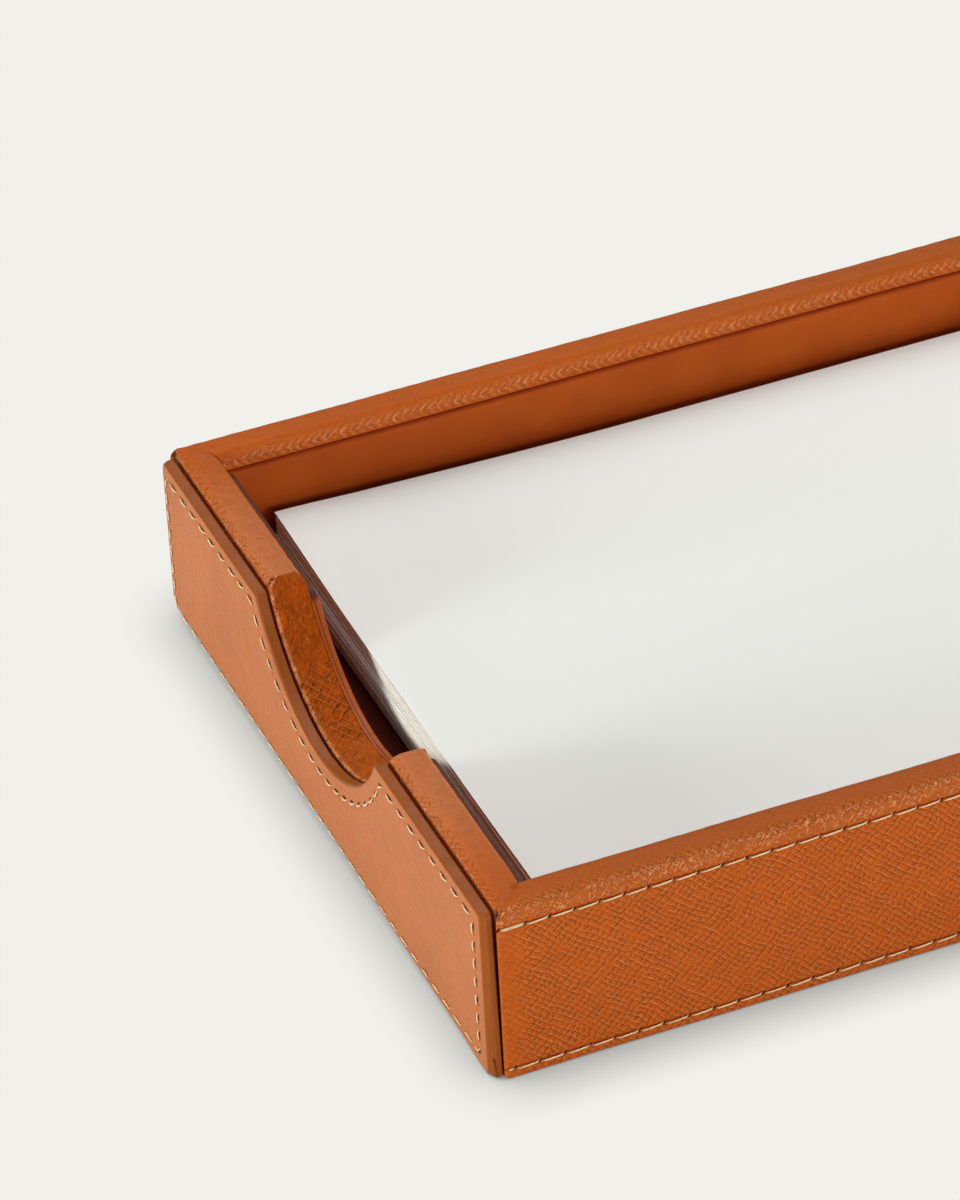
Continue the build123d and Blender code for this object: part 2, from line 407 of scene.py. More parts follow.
def hatch_grain(where, coarse=1.0):
    """Embossed grain: rows of small pads between long wavy ridges and short grooves that cross them.
    Gives the crests and the edges beside the folds for painted highlight, the folds and the sides under the crests for
    painted shade, and the height of the surface."""
    moved = where.noise(0.12 / coarse, 1.0, 0.5, "Color") * (1.9, 1.9, 0) + where
    moved = where.noise(0.62 / coarse, 2.0, 0.6, "Color") * (0.75, 0.75, 0) + moved
    rows = line_phase(moved, -40.5, 0.82 * coarse)
    shuffle = where.shade.node("TexWhiteNoise", {"W": rows.op("FLOOR")}, "Value", noise_dimensions="1D")
    cuts = line_phase(moved, 46.7, 1.02 * coarse) + shuffle * 0.35
    row_kept = (where + (37.0, 11.0, 5.0)).noise(0.5 / coarse, 2.0).ramp(0.36, 0.58, 0.25, 1)
    cut_kept = where.noise(0.55 / coarse, 2.0).ramp(0.36, 0.58, 0.30, 1)
    crest = line_at(rows, 0.20) * row_kept
    under_crest = line_at(rows, 0.15, 0.23) * row_kept
    beside_fold = line_at(cuts, 0.15, 0.20) * cut_kept
    fold = line_at(cuts, 0.12) * cut_kept
    light = crest.op("MAXIMUM", beside_fold * 0.7)
    dark = fold.op("MAXIMUM", under_crest * 0.65)
    pads = rows.op("PINGPONG", 0.5) * cuts.op("PINGPONG", 0.5)
    return light, dark, pads + light * 0.34 - dark * 0.55 + 0.5


def glint_and_rub_strokes(where):
    """Short slanted strokes where the grain stands up on a rounded edge, lighter partly from wear and partly as a
    painted highlight.
    """
    drawn = (where.turned(-52) * (1.0, 4.2, 1.0), where.turned(34) * (1.0, 4.2, 1.0) + (50.0, 0, 0))
    steep, flat = (strokes.noise(1.0, 2.0, 0.5).ramp(0.53, 0.61) for strokes in drawn)
    return steep.op("MAXIMUM", flat * 0.7)


def braided_ridges(shade, where):
    """Ridges that meet in a row of soft chevrons along the inner side of a rim, tinted light as a painted highlight.
    The braid attribute holds the place along the wall, the distance from the row and the row's strength."""
    along, away, strength = shade.attribute("braid", "Vector").split()
    phase = along / 1.4 + abs(away) * -0.75 + where.noise(0.8, 2.0) * 1.1
    return line_at(phase, 0.46) * strength * where.noise(1.1, 2.0).ramp(0.36, 0.56, 0.3, 1)


def grained_leather():
    """The tan cross-hatched leather of the walls."""
    shade = Shade("grained_leather", Roughness=0.5, Specular_IOR_Level=0.06)
    where = shade.attribute("skin", "Vector")
    grain, wear, tone = (shade.attribute(name) for name in ("grain", "wear", "tone"))
    _, _, from_row = shade.attribute("seam", "Vector").split()
    light, dark, height = hatch_grain(where)
    strokes = glint_and_rub_strokes(where)
    holes = seam_holes(shade, -0.02, 0.10, 0.20, 0.36, 0.5)
    braid = braided_ridges(shade, where)
    wrinkle = where.noise(0.7, 1.0, 0.5, distortion=0.8)
    folds = where.noise(0.55, 2.0, 0.5, distortion=0.6)
    coats = (
        (where.noise(0.07).ramp(0.3, 0.7) * 0.22, tan_warm),
        (where.noise(0.9).ramp(0.35, 0.65) * 0.08, tan_deep),
        # painted shade darkens the rim tops of the front, back and right walls; painted light makes the left wall's
        # rim paler
        (tone.ramp(-1, 0, 1, 0), tan_rim_painted_shade),
        (tone.ramp(0, 1), tan_rim_painted_light),
        (wrinkle.ramp(0.30, 0.46, 1, 0) * 0.14, tan_deep),
        # painted shade in the grain's folds and under its crests; painted highlight on its crests
        (dark * (grain * 0.62), tan_deep),
        (light * (grain * 0.74), tan_light),
        # rounded rim edges lighter, partly by wear and partly as painted highlight
        (wear * (strokes * 0.70), tan_worn_glint),
        # painted highlight along the rim's inner rounding
        (braid, braid_highlight),
        # painted shadow in the groove above the stitch row
        (abs(from_row - 0.20).ramp(0.05, 0.20, 1, 0) * 0.70, edge_dark),
        # painted shade by the shade attribute
        (shade.attribute("shade"), painted_shade_brown),
        # painted shade inside the needle holes
        (holes, painted_shade_brown))
    bumps = (
        (where.noise(5.0, 2.0, 0.6), 0.03),
        (wrinkle, 0.12),
        (folds * tone.ramp(0, 1), 0.75),
        (braid, 0.40),
        (height * grain, 0.28),
        (strokes * wear, 0.15),
        (1 - holes, 0.3))
    return shade.finish(tan, coats, where.noise(0.8, 2.0) * 0.16 + 0.42, bumps)


def notch_leather():
    """The same leather glued round the notch, painted darker than the walls' as the shade of the notch: its grain
    drawn wider with painted highlight on its crests and painted shade in its folds, soft slanting folds darkened as
    painted shade, and light at its outer edge, partly wear and partly painted highlight."""
    shade = Shade("notch_leather", Roughness=0.45, Specular_IOR_Level=0.03)
    where = shade.attribute("skin", "Vector")
    light, dark, height = hatch_grain(where, 1.55)
    bent = where.noise(0.2, 2.0, 0.6, "Color") * (3.0, 3.0, 0) + where
    fold = (bent.turned(-38) * (0.2, 0.7, 1)).noise(1.0, 2.0, 0.5)
    drawn = (bent * (0.5, 3.0, 1)).noise(1.0, 2.0, 0.6)
    along, _, _ = where.split()
    presence = where.noise(0.16, 2.0).ramp(0.36, 0.60, 0.55, 1) * abs(along - 6.0).ramp(4, 11, 1, 0.30)
    strokes = glint_and_rub_strokes(where)
    coats = (
        (where.noise(0.3).ramp(0.35, 0.65), strip_deep),
        # painted shade in the valleys of the folds
        (fold.ramp(0.34, 0.50, 1, 0) * 0.5, strip_deep),
        (along.ramp(-2, 3, 0.15, 0), strip_light),
        # painted shade in the grain's folds; painted highlight on its crests and on glinting strokes
        (dark * (presence * 0.22), edge_dark),
        (light * (presence * 0.50), strip_light),
        (strokes * 0.12, strip_light),
        (drawn.ramp(0.52, 0.72, 0, 0.40), strip_light),
        (shade.attribute("wear") * (strokes * 0.5 + 0.3), tan_worn_glint))
    bumps = ((where.noise(5.0, 2.0), 0.03), (height * presence, 0.38), (fold, 1.0))
    return shade.finish(strip_tan_painted_shade, coats, where.noise(0.9, 2.0) * 0.2 + 0.34, bumps)


def smooth_leather():
    """Plain lining leather: faint pores and soft clouds of colour, with painted shade low down in the tray and, by
    the shade attribute, painted shade where a liner's top meets the wall."""
    shade = Shade("lining_leather", Roughness=0.5, Specular_IOR_Level=0.05)
    where = shade.place()
    _, _, up = where.split()
    coats = (
        (where.noise(0.05, 4.0).ramp(0.3, 0.7), liner_deep),
        (where.noise(2.4).ramp(0.5, 0.8) * 0.25, liner_deep),
        # painted shade, deeper towards the tray's floor
        (up.ramp(11, 22, 1, 0), liner_shade),
        (up.ramp(11, 17, 0.75, 0), painted_shade_brown),
        (shade.attribute("shade"), liner_shade))
    bumps = ((where.cells(2.6).ramp(0, 0.12), 0.018), (where.noise(0.35, 2.0), 0.12))
    return shade.finish(liner_tan, coats, where.noise(1.1, 2.0) * 0.14 + 0.43, bumps)


def panel_leather():
    """Fine pebbled leather of the drawer front, with needle slits along its seam painted dark as shade."""
    shade = Shade("panel_leather", Roughness=0.5, Specular_IOR_Level=0.25)
    where = shade.place()
    pebble = (where.noise(0.6, 2.0, 0.6, "Color") * (0, 0.9, 0.9) + where).cells(1.1).ramp(0, 0.30)
    dents = where.noise(1.15, 1.0, 0.4).ramp(0.25, 0.60)
    holes = seam_holes(shade, 1.0, 0.17, 0.58, 0.22, 0.0)
    coats = (
        (where.noise(0.07, 4.0).ramp(0.3, 0.7) * 0.5, panel_deep),
        ((1 - pebble) * 0.05, panel_deep),
        (holes, painted_shade_brown),
        ((1 - dents) * 0.06, panel_deep))
    bumps = ((where.noise(3.0, 1.0), 0.012), (pebble, 0.025), (dents, 0.10),
             (where.noise(0.36, 1.0, 0.5), 0.4), (1 - holes, 0.25))
    return shade.finish(panel_tan, coats, where.noise(1.3, 2.0) * 0.14 + 0.42, bumps)


def burnished_edge(name, light, dark, core=None):
    """A cut leather edge, dyed and polished: long faint streaks along it. core is the place across X of
    the dark line where two layers meet."""
    shade = Shade(name, Roughness=0.45, Specular_IOR_Level=0.12)
    where = shade.place()
    streaks = (where * (4.0, 0.4, 0.4)).noise(1.0, 4.0, 0.6)
    patch = where.noise(0.35)
    coats = [(streaks.ramp(0.4, 0.7) * 0.18, dark), (patch.ramp(0.45, 0.7) * 0.25, dark)]
    if core is not None:
        across, _, up = where.split()
        away = patch * 0.25 + abs(across - core)
        # the dark line where the two layers meet; painted shade towards the liner's top
        coats += [(away.ramp(0.15, 0.32, 0.85, 0), edge_dark),
                  (up.ramp(liner_top - 1.4, liner_top - 0.5, 0, 0.85), painted_shade_brown)]
    bumps = ((streaks, 0.03), (patch, 0.06))
    return shade.finish(light, coats, patch.ramp(0.3, 0.7, 0.32, 0.5), bumps)


def waxed_thread():
    """Twisted cream thread, browner where it goes into its holes."""
    shade = Shade("waxed_thread", Roughness=0.42, Specular_IOR_Level=0.35, Sheen_Weight=0.15)
    strand = shade.attribute("twist").op("SINE") * 0.5 + 0.5
    fibre = shade.place().noise(9.0, 2.0)
    coats = (((1 - strand) * 0.45, thread_shade), (shade.attribute("ends") * 0.7, tan_deep))
    return shade.finish(thread_cream, coats, fibre.ramp(0.3, 0.7, 0.36, 0.55), ((fibre, 0.015), (strand, 0.05)))


def writing_paper():
    """Smooth white stock with a faint fibre."""
    shade = Shade("paper", Roughness=0.62, Specular_IOR_Level=0.3)
    where = shade.place()
    fibre = where.noise(3.5, 4.0, 0.65)
    coats = ((where.noise(0.03, 2.0).ramp(0.3, 0.7) * 0.03, (0.74, 0.75, 0.72, 1)),
             (fibre.ramp(0.4, 0.8) * 0.04, (0.70, 0.69, 0.66, 1)))
    return shade.finish(paper_white, coats, None, [(fibre, 0.006)])


def sheet_edges():
    """Cut edges of the stacked sheets: each lies a little lighter or darker than the next."""
    shade = Shade("sheet_edges", Roughness=0.7, Specular_IOR_Level=0.1)
    layers = (shade.place() * (0.05, 0.05, 5.0)).noise(1.0, 3.0, 0.7)
    coats = [(layers.ramp(0.35, 0.65), (0.97, 0.94, 0.86, 1))]
    return shade.finish((0.88, 0.83, 0.71, 1), coats, None, [(layers, 0.02)])


def suede(name, light, dark):
    """Short nap: soft patches that lie light or dark."""
    shade = Shade(name, Roughness=0.95, Specular_IOR_Level=0.1, Sheen_Weight=0.12, Sheen_Roughness=0.6)
    where = shade.place()
    nap = where.noise(3.2, 5.0, 0.7)
    coats = ((where.noise(0.12).ramp(0.35, 0.65), dark), (nap.ramp(0.4, 0.7) * 0.35, dark))
    return shade.finish(light, coats, None, [(nap, 0.12)])


def bare_board(name, light, dark, grain=(0.06, 1.6, 1.6)):
    """Bare board with long grain."""
    shade = Shade(name, Roughness=0.7, Specular_IOR_Level=0.25)
    where = shade.place()
    rings = (where * grain).noise(1.0, 5.0, 0.65, distortion=0.4)
    pores = (where * (0.5, 6.0, 6.0)).noise(1.0, 3.0, 0.6)
    coats = ((rings.ramp(0.35, 0.68), dark), (pores.ramp(0.52, 0.75) * 0.4, dark))
    return shade.finish(light, coats, pores.ramp(0.3, 0.7, 0.6, 0.8), ((rings, 0.04), (pores, 0.05)))


def slick_tape():
    """Off-white low friction tape with faint draw lines."""
    shade = Shade("slick_tape", Roughness=0.35, Specular_IOR_Level=0.5)
    lines = (shade.place() * (0.05, 5.0, 5.0)).noise(1.0)
    coats = [(lines.ramp(0.3, 0.7), (0.62, 0.61, 0.57, 1))]
    return shade.finish((0.72, 0.71, 0.67, 1), coats, lines.ramp(0.3, 0.7, 0.28, 0.42), [(lines, 0.02)])


grained = grained_leather()
creased = notch_leather()
lining = smooth_leather()
liner_edge = burnished_edge("liner_edge", (0.36, 0.074, 0.010, 1), (0.22, 0.034, 0.003, 1),
                            left_liner_low[0] + 0.45)
panel_face = panel_leather()
panel_edge = burnished_edge("panel_edge", edge_brown, (0.22, 0.046, 0.006, 1))
thread = waxed_thread()
paper = [writing_paper(), sheet_edges()]
board = bare_board("bare_board", (0.56, 0.40, 0.24, 1), (0.40, 0.26, 0.14, 1))
card = bare_board("grey_card", (0.36, 0.32, 0.27, 1), (0.27, 0.24, 0.20, 1), (0.5, 0.6, 0.6))
cover_suede = suede("cover_suede", (0.20, 0.075, 0.03, 1), (0.13, 0.045, 0.018, 1))
drawer_suede = suede("drawer_suede", (0.24, 0.09, 0.035, 1), (0.16, 0.055, 0.02, 1))
tape = slick_tape()


# ---- leather round the walls
def levels(low, high, step, centres=(), reach=1.0, fine=0.14):
    """Marks from low to high, closer together round the centres."""
    marks = [m for m in np.linspace(low, high, max(2, round((high - low) / step) + 1))
             if m in (low, high) or all(abs(m - c) > reach for c in centres)]
    for centre in centres:
        marks += [m for m in np.arange(centre - reach, centre + reach, fine) if low < m < high]
    return np.array(sorted(set(marks)))


def wall_profile(marks=None):
    """Outline of a wall's leather as (inward, up) points: up the outer face by the marks, over the rim
    and down the inner face to the tray's floor. Without marks it starts under the wall's foot."""
    r = rim_radius
    parts = []
    if marks is None:
        marks = levels(foot_radius, rim_top - r, 1.1, (rim_row, foot_row))
        parts = [np.linspace((side - bay_face, 0), (foot_radius, 0), 8),
                 arc((foot_radius, foot_radius), foot_radius, 270, 180, 7)]
    return chain(*parts,
                 np.stack([0 * marks, marks], 1),
                 arc((r, rim_top - r), r, 180, 90, 14),
                 np.linspace((r, rim_top), (wall - r, rim_top), 9),
                 arc((wall - r, rim_top - r), r, 90, 0, 14),
                 np.linspace((wall, rim_top - r), (wall, tray_board_top), 16))


def leather_relief(along, around, inward, height, length, seams, mitre_depth):
    """How far the leather stands out from its even shape."""
    lift = 0.05 * ripples(along, around, 34, 3) + 0.018 * ripples(along, around, 7, 5)
    on_rim = rise(height, rim_top - 2.6, rim_top - 1.0)
    edge = bell(inward - 0.35, 0.9) + bell(inward - (wall - 0.35), 0.9)
    lift += on_rim * edge * 0.030 * ripples(along, 1.6 * around, 1.9, 11)
    lift -= on_rim * (0.19 - 0.10 * np.sin(np.pi * np.clip(inward / wall, 0, 1)))
    for row in seams:
        across = np.where(inward < 0.4, height - row, off_seam)
        lift -= groove_depth * bell(across, groove_width)
        lift += 0.05 * bell(np.abs(across) - 0.8, 0.5)
    mitre = np.minimum(along - inward, length - inward - along) * math.sqrt(0.5)
    crease = np.where(inward > wall - 1.9, min(0.10, mitre_depth), mitre_depth)
    return lift - on_rim * rise(inward, 0.2, 1.2) * crease * bell(mitre, 1.1)


def seam_values(phase, across):
    """Seam attribute from the place along the row in stitches and the distance across it."""
    return np.stack([np.cos(2 * np.pi * phase), np.sin(2 * np.pi * phase), across], -1)


def wall_seam(along, height, outside):
    """Seam attribute of a wall with a row under its rim and one over its foot."""
    upper = height > (rim_row + foot_row) / 2
    phase = np.where(upper, (along - rim_first_hole) / rim_pitch, (along - foot_first_hole) / foot_pitch)
    return seam_values(phase, np.where(outside, height - np.where(upper, rim_row, foot_row), off_seam))


class Wall:
    """Where a wall stands: its corner, the way along it and the way in."""

    def __init__(self, corner, along, inward, length):
        self.corner = np.array(corner)
        self.along = np.array(along, float)
        self.inward = np.array(inward, float)
        self.length = length

    def points(self, along, inward, height):
        flat = self.corner + along[..., None] * self.along + inward[..., None] * self.inward
        return np.concatenate([flat, height[..., None]], -1)


front = Wall((case_left, -side), (1, 0), (0, 1), case_length)
back = Wall((case_left, side), (1, 0), (0, -1), case_length)
right = Wall((case_right, -side), (0, 1), (-1, 0), case_width)
left = Wall((case_left, -side), (0, 1), (1, 0), case_width)


def upright_corners(along, inward, length):
    """Rounds the upright outer corners of the case."""
    from_end = np.minimum(along, length - along)
    turned, sunk = pulled_round(corner_radius - from_end, corner_radius - inward, corner_radius)
    return along + np.where(from_end < along, -turned, turned), inward + sunk


def square_end(along, inward, height):
    """The free left end of a long wall: its face laps a little over the drawer front's edge and its foot
    corner is rounded."""
    lapping = (1 - rise(along, 0, 1.2)) * (1 - rise(inward, 0, 0.3)) * (1 - rise(height, 27.3, 28.6))
    along = along - lap * lapping
    turned, lifted = pulled_round(end_radius - 0.3 - along, end_radius - height, end_radius)
    outside = 1 - rise(inward, 0.3, 0.9)
    return along + turned * outside, height + lifted * outside


def held(around, start, end):
    """0 at both ends of a profile, rising to 1 within these distances."""
    return rise(around, 0, start) * rise(around.max() - around, 0, end)


def skin_grid(place, profile, start, end, columns, seams, glint_and_rub_width, mitre_depth, tone, free_left=False):
    """Outer points and attributes of a wall's leather between each row's start and end. Its rim light is painted:
    above 0 the left wall's rim is paler as lit, below 0 the other rims' tops are darker as shade."""
    normals = normals_of(profile)
    around = length_along(profile)[:, None]
    along = start[:, None] + (end - start)[:, None] * columns
    inward = profile[:, :1] + 0 * along
    height = profile[:, 1:] + 0 * along
    lift = leather_relief(along, around, inward, height, place.length, seams, mitre_depth) * held(around, 1, 1)
    outside = inward < 0.2
    turned, moved_in = upright_corners(along, inward + normals[:, :1] * lift, place.length)
    moved_up = np.clip(height + normals[:, 1:] * lift, 0, rim_top)
    if free_left:
        turned, moved_up = square_end(turned, moved_in, moved_up)
    seam = wall_seam(along, height, outside if seams else False)
    from_end = np.minimum(along, place.length - along)
    from_corner = rise(from_end, 2, 30)
    flat_top = rise(height, rim_top - 0.5, rim_top - 0.05)
    from_face = np.minimum(inward, wall - inward)
    rim = rise(height, rim_top - 3.2, rim_top - 2.5) * (1 - rise(from_face, 0.3 * glint_and_rub_width, glint_and_rub_width))
    inner = rise(inward, wall - 2, wall - 1)
    grain = (1 - 0.82 * flat_top) * (0.35 + 0.65 * rise(from_end, 0.8, 5)) * (1 - 0.6 * bell(seam[..., 2], 0.5))
    # band on the rounded rim edges painted lighter, partly wear and partly highlight
    wear = rim * (1 - 0.75 * inner) * (0.85 + 0.35 * ripples(along, around, 5, 21))
    # painted shade on the rims grows away from the corners and towards the right; painted light on the left rim grows
    # away from its corners
    if tone < 0:
        tone = tone * (0.6 + 0.3 * from_corner + 0.6 * rise(along, 60, 140))
    else:
        tone = 0.2 + 0.65 * from_corner
    shade = 0 * along
    # painted shade on the left wall's outer face beside the front wall and a little at its rim's corners
    if not seams:        # the left wall is dark beside the front wall and a little so at its rim's corners
        shade = np.where(outside, 0.93 * (1 - rise(along, 1.1, 1.9)), 0.14 * (1 - from_corner) * rise(height, 27, 29))
    braid = rise(inward, wall - 1.4, wall - 0.5) * bell(height - braid_height, 0.75)
    values = {
        "skin": np.stack([along, around + 0 * along, 0 * along], -1).reshape(-1, 3),
        "seam": seam.reshape(-1, 3),
        "grain": (grain * (1 - 0.7 * rim) * (1 - 0.9 * inner)).ravel(),
        "wear": np.clip(wear, 0, 1).ravel(),
        "tone": (tone * rise(height, rim_top - 2.2, rim_top - 0.2)).ravel(),
        "shade": shade.ravel(),
        "braid": np.stack([along, height - braid_height, braid], -1).reshape(-1, 3),
    }
    return place.points(turned, moved_in, moved_up), values


def under_skin(place, profile, start, end, depth, widest, low, top):
    """Inner points of a leather of this depth, where it lies on its board."""
    ends = np.stack([start, end], 1)
    inner = profile - depth * normals_of(profile)
    return place.points(ends, np.clip(inner[:, :1], depth, widest) + 0 * ends,
                        np.clip(inner[:, 1:], low, top - depth) + 0 * ends)


def pad(values, count):
    """Attributes with zeros for inner points, which nothing shows."""
    return {k: np.concatenate([v, np.zeros((count, *v.shape[1:]))]) for k, v in values.items()}


def gathered(values):
    """Attributes of several meshes as one."""
    return {k: np.concatenate([v[k] for v in values]) for k in values[0]}


def even_values(skins, **numbers):
    """Attributes of a leather without a seam: its places on the hide, and numbers that are even or not."""
    count = len(skins)
    numbers = {k: v + np.zeros(count) for k, v in numbers.items()}
    return {"skin": skins, "seam": np.tile((1, 0, off_seam), (count, 1)), **numbers}


def mitred_wall(name, place, free_left, tone, mitre_depth=0.0):
    """A wall's leather from one mitred end to the other."""
    profile = wall_profile()
    mitre = profile[:, 0]
    start = np.where(profile[:, 1] < mouth_top, 0, mitre) if free_left else mitre
    columns = np.linspace(0, 1, round(place.length / skin_step))
    outer, values = skin_grid(place, profile, start, place.length - mitre, columns, (rim_row, foot_row), 0.9,
                              mitre_depth, tone, free_left)
    under = np.clip(mitre, skin, wall - skin)
    inner = under_skin(place, profile, np.where(start > 0, under, start), place.length - under,
                       skin, wall - skin, skin, rim_top)
    build(f"{name}_skin", shell(outer, inner), [grained], "case", [f"{name}_wall_leather"],
          pad(values, 2 * len(profile)))


mitred_wall("front", front, True, -1.0, mitre_near)
mitred_wall("back", back, True, -0.55)
mitred_wall("right", right, False, -0.7, 0.15)


def end_patch(name, place):
    """The leather over the square foot end of a long wall, behind the drawer's front."""
    outline = np.array([[side - bay_face, 0.05], [1.3, 0.05], [0.9, 0.4], [corner_radius, 1.6],
                        [corner_radius, mouth_top], [side - bay_face, mouth_top]])
    count = len(outline)
    index = np.arange(count)
    points = np.concatenate([place.points(np.full(count, x), *outline.T) for x in (-0.05, 0.05)])
    faces = [index.tolist(), (index[::-1] + count).tolist()] + band(index, index + count)
    skins = np.column_stack([np.tile(outline, (2, 1)), np.zeros(2 * count)])
    build(name, (points, faces), [grained], "case", (), even_values(skins, grain=0.6, shade=0.5),
          welded=True)


end_patch("front_end_patch", front)
end_patch("back_end_patch", back)


def left_wall():
    """The left wall's leather in two halves that meet under the notch."""
    radius = notch_radius + skin
    floor = notch_centre - radius
    top_angle = math.degrees(math.acos((notch_centre - rim_top + rim_radius) / radius))
    round_notch = notch_centre - radius * np.cos(np.radians(np.linspace(0, top_angle, 34)))
    profile = wall_profile(np.concatenate([levels(mouth_top, floor, 1.0)[:-1], round_notch]))
    inner_marks = np.concatenate([round_notch[::-1], [floor - 2, tray_board_top]])
    keep = ~((profile[:, 0] > wall - 1e-6) & (profile[:, 1] < rim_top - rim_radius - 1e-6))
    profile = chain(profile[keep], np.stack([np.full(len(inner_marks), wall), inner_marks], 1))
    start, height = profile.T
    covering = radius - (skin + 0.1) * rise(height, rim_top - 1.6, rim_top - 0.9)
    columns = 1 - (1 - np.linspace(0, 1, 130)) ** 1.6
    meshes, values = [], []
    for sign in (1, -1):
        # The near half's rim covers the end of the strip; the far half's end is under the strip's bend
        reach = covering if sign > 0 else radius + 0 * height
        half = np.sqrt(np.clip(reach**2 - (notch_centre - height) ** 2, 0, None))
        end = case_width / 2 - half
        outer, value = skin_grid(left, profile, start, end, columns, (), 0.45, mitre_near if sign > 0 else 0, 1)
        inner = under_skin(left, profile, np.clip(start, skin, wall - skin), end, skin, wall - skin, 0, rim_top)
        edge = np.clip(end[:, None] - (outer[..., 1] + side), 0, None)
        outer[..., 2] -= rise(height, rim_top - 2.4, rim_top - 1.6)[:, None] * rounded(edge, 0.55)
        outer[..., 1] *= sign
        inner[..., 1] *= sign
        points, faces = shell(outer, inner, half[:-1] + half[1:] > 0)
        meshes.append((points, [face[::sign] for face in faces]))
        values.append(pad(value, 2 * len(profile)))
    build("left_skin", joined(meshes), [grained], "case", ["left_wall_leather"], gathered(values),
          welded=True)


left_wall()


# ---- leather strip on the notch
def notch_path():
    """Face of the strip as a line (across, up): from its near end round the notch, then bent over the
    far rim, where it thins out. Gives the points and the share of the full thickness."""
    bend, tail, level = 1.1, 1.6, rim_top - 0.03
    middle_up = level - bend
    middle_out = math.sqrt((notch_radius + bend) ** 2 - (notch_centre - middle_up) ** 2)
    turn = math.degrees(math.atan2(middle_out, notch_centre - middle_up))
    near_end = math.degrees(math.acos((notch_centre - rim_top + skin + 0.05) / notch_radius))
    line = chain(arc((0, notch_centre), notch_radius, -90 - near_end, turn - 90, 190),
                 arc((middle_out, middle_up), bend, 90 + turn, 90, 10),
                 np.linspace((middle_out, level), (middle_out + tail, level), 9))
    beyond = np.clip(line[:, 0] - middle_out + 0.8, 0, None) / (tail + 0.8)
    return line, 1 - 0.9 * rise(beyond, 0, 0.75) * (line[:, 1] > middle_up)


def notch_facing():
    """A strip of leather across the wall, bent along the notch, its edges turned over."""
    line, full = notch_path()
    out = normals_of(line)
    distance = length_along(line)
    distance -= distance[-1] / 2
    outer_turn, inner_turn = 0.45, 0.22
    rows = [(0, x, skin) for x in (0.8, 0.0)]
    rows += [(0, x, y) for x, y in arc((outer_turn, outer_turn), outer_turn, 180, 270, 7)]
    rows += [(1, s, 0) for s in np.linspace(0.03, 0.97, 21)]
    rows += [(2, x, y) for x, y in arc((inner_turn, inner_turn), inner_turn, 270, 180, 7)]
    rows += [(2, x, skin) for x in (0.0, 0.8)]
    inset = rounded(rim_top - line[:, 1], rim_radius)
    low, high = case_left + inset, case_left + wall - inset
    points, wear, skins = [], [], []
    for zone, x, depth in rows:
        across = [low + x, low + outer_turn + x * (high - low - outer_turn - inner_turn), high - x][zone]
        fraction = (across - low) / (high - low)
        swell = full * full * np.where(depth < 0.01, 1, 0.4) * (depth < skin)
        lift = 0.05 * ripples(distance, across, 6, 31) + 0.035 * ripples(distance, 2 * across, 1.7, 33)
        lift = swell * (lift + 0.06 * np.sin(np.pi * np.clip(fraction, 0, 1)))
        points.append(np.column_stack([across, line + out * (lift - depth * full)[:, None]]))
        wear.append(bell(fraction * wall - 0.25, 0.28) * (0.75 + 0.5 * ripples(distance, across, 3, 35)))
        skins.append(np.stack([distance, across - case_left, 0 * across], 1))
    index = numbered(len(rows), len(line))
    faces = quads(index) + quads(index[[-1, 0]]) + [index[::-1, 0].tolist(), index[:, -1].tolist()]
    thin = [np.mean([full[i % len(line)] for i in face]) < 0.8 for face in faces]
    values = even_values(np.concatenate(skins), wear=np.clip(wear, 0, 1).ravel(), grain=0.25, tone=1)
    build("notch_facing", (np.concatenate(points), faces), [creased, grained], "case",
          ["notch_strip"], values, thin, welded=True)


notch_facing()


# ---- plates with the notch's outline
def notched_outline(half, bottom, top, feet, top_corner, mouth_corner, radius=notch_radius):
    """Closed outline (across, up) of a plate with the notch in its top edge, anticlockwise. feet are the
    corner radii at its near and its far foot."""
    mouth_up = top - mouth_corner
    mouth_out = math.sqrt((radius + mouth_corner) ** 2 - (notch_centre - mouth_up) ** 2)
    mouth_angle = math.degrees(math.atan2(mouth_out, notch_centre - mouth_up))
    near_half, far_half = (chain(
        np.array([[0, bottom]]),
        arc((half - foot, bottom + foot), foot, -90, 0, 12),
        arc((half - top_corner, top - top_corner), top_corner, 0, 90, 8),
        arc((mouth_out, mouth_up), mouth_corner, 90, 90 + mouth_angle, 12),
        arc((0, notch_centre), radius, mouth_angle - 90, -90, 60)) for foot in feet)
    return chain(far_half, near_half[::-1] * (-1, 1))[:-1]


def even_steps(outline, step):
    """The closed outline again with points at even steps, and its length."""
    closed = np.concatenate([outline, outline[:1]])
    distance = length_along(closed)
    marks = np.linspace(0, distance[-1], round(distance[-1] / step), endpoint=False)
    return np.stack([np.interp(marks, distance, closed[:, i]) for i in (0, 1)], 1), distance[-1]


def out_of(points):
    """Normals out of a closed line that runs anticlockwise."""
    along = np.roll(points, -1, 0) - np.roll(points, 1, 0)
    along /= np.hypot(*along.T)[:, None]
    return np.stack([along[:, 1], -along[:, 0]], 1)


def nearest_on(line):
    """A search for flat points: the number of the line's nearest point to each, and its distance."""
    tree = KDTree(len(line))
    for i, (x, y) in enumerate(line):
        tree.insert((x, y, 0), i)
    tree.balance()

    def search(points):
        _, found, away = zip(*(tree.find((x, y, 0)) for x, y in points))
        return np.array(found), np.array(away)
    return search


